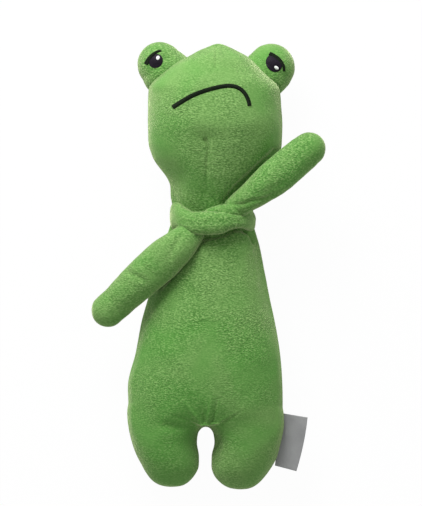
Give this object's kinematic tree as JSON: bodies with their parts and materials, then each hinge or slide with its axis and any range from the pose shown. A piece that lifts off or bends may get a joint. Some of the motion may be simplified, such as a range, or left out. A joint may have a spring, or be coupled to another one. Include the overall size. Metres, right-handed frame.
{
  "type": "plush dog toy",
  "caption": "Stuffed plush frog for dogs with bulging eyes, stubby legs and long arms tied in a knot at the neck, and a squeaker in its belly.",
  "frame": {"origin": "on the flat of the torso's back, on the centre line, where the toy rests on a surface", "axes": "+X to the viewer's right when the toy is seen from the front, +Y along the body to the head, +Z out of the belly; -Z is the way the resting flat faces"},
  "size_m": [0.1715, 0.3381, 0.0815],
  "materials": {
    "plush": "short-pile green plush with a soft sheen",
    "fibre": "loose white polyester fibre",
    "black_thread": "glossy satin-stitch thread",
    "white_thread": "glossy satin-stitch thread",
    "ribbon": "woven grey ribbon",
    "vinyl": "soft milky vinyl",
    "reed_plastic": "moulded hard plastic"
  },
  "bodies": {
    "torso": {"torso_front_panel": "plush", "torso_back_panel": "plush", "torso_back_filling": "fibre", "torso_front_filling": "fibre", "knot_front_cover": "plush", "knot_front_filling": "fibre", "knot_rear_cover": "plush", "knot_rear_filling": "fibre", "squeaker_back_cup": "vinyl", "squeaker_bellows": "vinyl"},
    "head": {"head_front_panel": "plush", "head_back_panel": "plush", "head_filling": "fibre", "mouth_stitching": "black_thread"},
    "left_eye": {"left_eye_front_panel": "plush", "left_eye_back_panel": "plush", "left_eye_filling": "fibre", "left_eye_lid_stitching": "black_thread", "left_eye_pupil_stitching": "black_thread", "left_eye_glint_stitching": "white_thread"},
    "right_eye": {"right_eye_front_panel": "plush", "right_eye_back_panel": "plush", "right_eye_filling": "fibre", "right_eye_lid_stitching": "black_thread", "right_eye_pupil_stitching": "black_thread", "right_eye_glint_stitching": "white_thread"},
    "left_leg": {"left_leg_front_panel": "plush", "left_leg_back_panel": "plush", "left_leg_filling": "fibre"},
    "right_leg": {"right_leg_front_panel": "plush", "right_leg_back_panel": "plush", "right_leg_filling": "fibre"},
    "raised_arm": {"raised_arm_front_panel": "plush", "raised_arm_back_panel": "plush", "raised_arm_filling": "fibre"},
    "lowered_arm": {"lowered_arm_front_panel": "plush", "lowered_arm_back_panel": "plush", "lowered_arm_filling": "fibre"},
    "label": {"side_label": "ribbon"},
    "squeaker_front": {"squeaker_front_cup": "vinyl", "squeaker_reed_holder": "reed_plastic", "squeaker_reed": "vinyl"}
  },
  "joints": [
    {"name": "neck_nod", "type": "hinge", "parent": "torso", "child": "head", "pos_m": [0, 0.126, 0.034], "axis": [1, 0, 0], "range_deg": [-25, 0], "stiffness_Nm_per_rad": 0.06},
    {"name": "left_eye_wobble", "type": "hinge", "parent": "head", "child": "left_eye", "pos_m": [-0.041, 0.242, 0.028], "axis": [1, 0, 0], "range_deg": [-12, 12], "stiffness_Nm_per_rad": 0.02},
    {"name": "right_eye_wobble", "type": "hinge", "parent": "head", "child": "right_eye", "pos_m": [0.041, 0.242, 0.028], "axis": [1, 0, 0], "range_deg": [-12, 12], "stiffness_Nm_per_rad": 0.02},
    {"name": "left_hip_swing", "type": "hinge", "parent": "torso", "child": "left_leg", "pos_m": [-0.0325, -0.034, 0.031], "axis": [1, 0, 0], "range_deg": [-20, 5], "stiffness_Nm_per_rad": 0.05},
    {"name": "right_hip_swing", "type": "hinge", "parent": "torso", "child": "right_leg", "pos_m": [0.0325, -0.034, 0.031], "axis": [1, 0, 0], "range_deg": [-20, 5], "stiffness_Nm_per_rad": 0.05},
    {"name": "raised_arm_swing", "type": "hinge", "parent": "torso", "child": "raised_arm", "pos_m": [0.0306, 0.1424, 0.067], "axis": [0, 0, 1], "range_deg": [-34, 0], "stiffness_Nm_per_rad": 0.03},
    {"name": "lowered_arm_swing", "type": "hinge", "parent": "torso", "child": "lowered_arm", "pos_m": [-0.0253, 0.1068, 0.063], "axis": [0, 0, 1], "range_deg": [-34, 0], "stiffness_Nm_per_rad": 0.03},
    {"name": "label_flap", "type": "hinge", "parent": "right_leg", "child": "label", "pos_m": [0.0593, -0.023, 0.031], "axis": [0.1497, 0.9887, 0], "range_deg": [-50, 50], "stiffness_Nm_per_rad": 0.0006},
    {"name": "squeaker_squeeze", "type": "slide", "parent": "torso", "child": "squeaker_front", "axis": [0, 0, -1], "range_m": [0, 0.008], "stiffness_N_per_m": 300, "deforming": ["squeaker_bellows"]}
  ]
}
